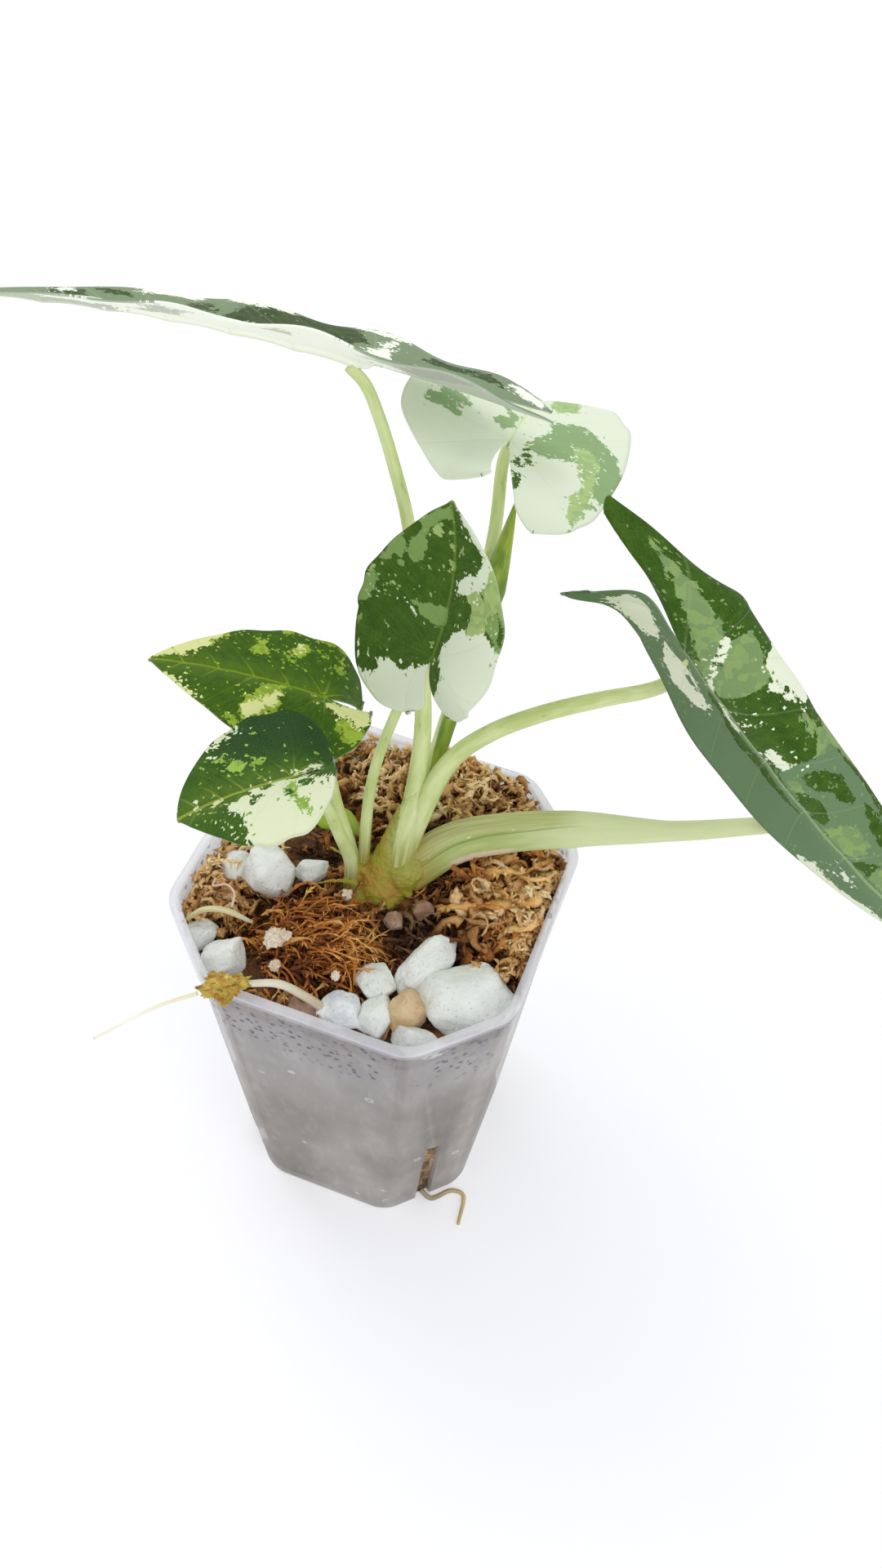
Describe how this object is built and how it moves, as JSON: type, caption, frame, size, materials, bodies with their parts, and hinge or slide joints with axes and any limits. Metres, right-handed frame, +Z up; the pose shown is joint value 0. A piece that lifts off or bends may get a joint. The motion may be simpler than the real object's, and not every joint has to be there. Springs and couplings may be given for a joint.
{
  "type": "potted alocasia",
  "caption": "Young variegated velvet-leaved plant, arrow-shaped blades on slender stalks, in a small square cloudy plastic cup with cut corners, mossy mix and pale stones.",
  "frame": {"origin": "middle of the pot's underside, on the surface the pot stands on", "axes": "+Z up, +X and +Y along the pot's straight sides, with the plant leaning back towards +Y"},
  "size_m": [0.2361, 0.1882, 0.2181],
  "materials": {
    "pot_plastic": "cloudy clear",
    "mossy_mix": "fibrous",
    "crown_bark": "rough, stained",
    "leaf": "velvety, white patches",
    "young_leaf": "smooth",
    "stalk": "smooth",
    "pumice": "rough stone",
    "tan_stone": "rough stone",
    "root": "smooth",
    "dry_bud": "papery"
  },
  "bodies": {
    "root": {"pot": "pot_plastic", "crown": "crown_bark", "blade_left": "leaf", "blade_back": "leaf", "blade_right": "leaf", "blade_outer": "leaf", "blade_centre": "leaf", "blade_upper": "leaf", "blade_lower": "leaf", "stalk_left": "stalk", "stalk_back": "stalk", "stalk_right": "stalk", "stalk_outer": "stalk", "stalk_centre": "stalk", "stalk_upper": "stalk", "stalk_lower": "stalk", "new_leaf": "young_leaf", "sprout": "young_leaf", "stone_back_left": "pumice", "stone_far_left": "pumice", "stone_crown_left": "pumice", "stone_left": "pumice", "stone_left_edge": "pumice", "stone_mid": "pumice", "stone_long": "pumice", "stone_big": "pumice", "stone_tan": "tan_stone", "stone_pale": "pumice", "stone_grey": "pumice", "stone_front": "pumice", "stone_pink": "tan_stone", "stone_brown": "tan_stone", "stone_rust": "tan_stone", "runner": "root", "bud": "dry_bud", "root_hanging": "root", "root_top": "root", "root_foot": "root", "moss_bed": "mossy_mix"}
  },
  "joints": []
}
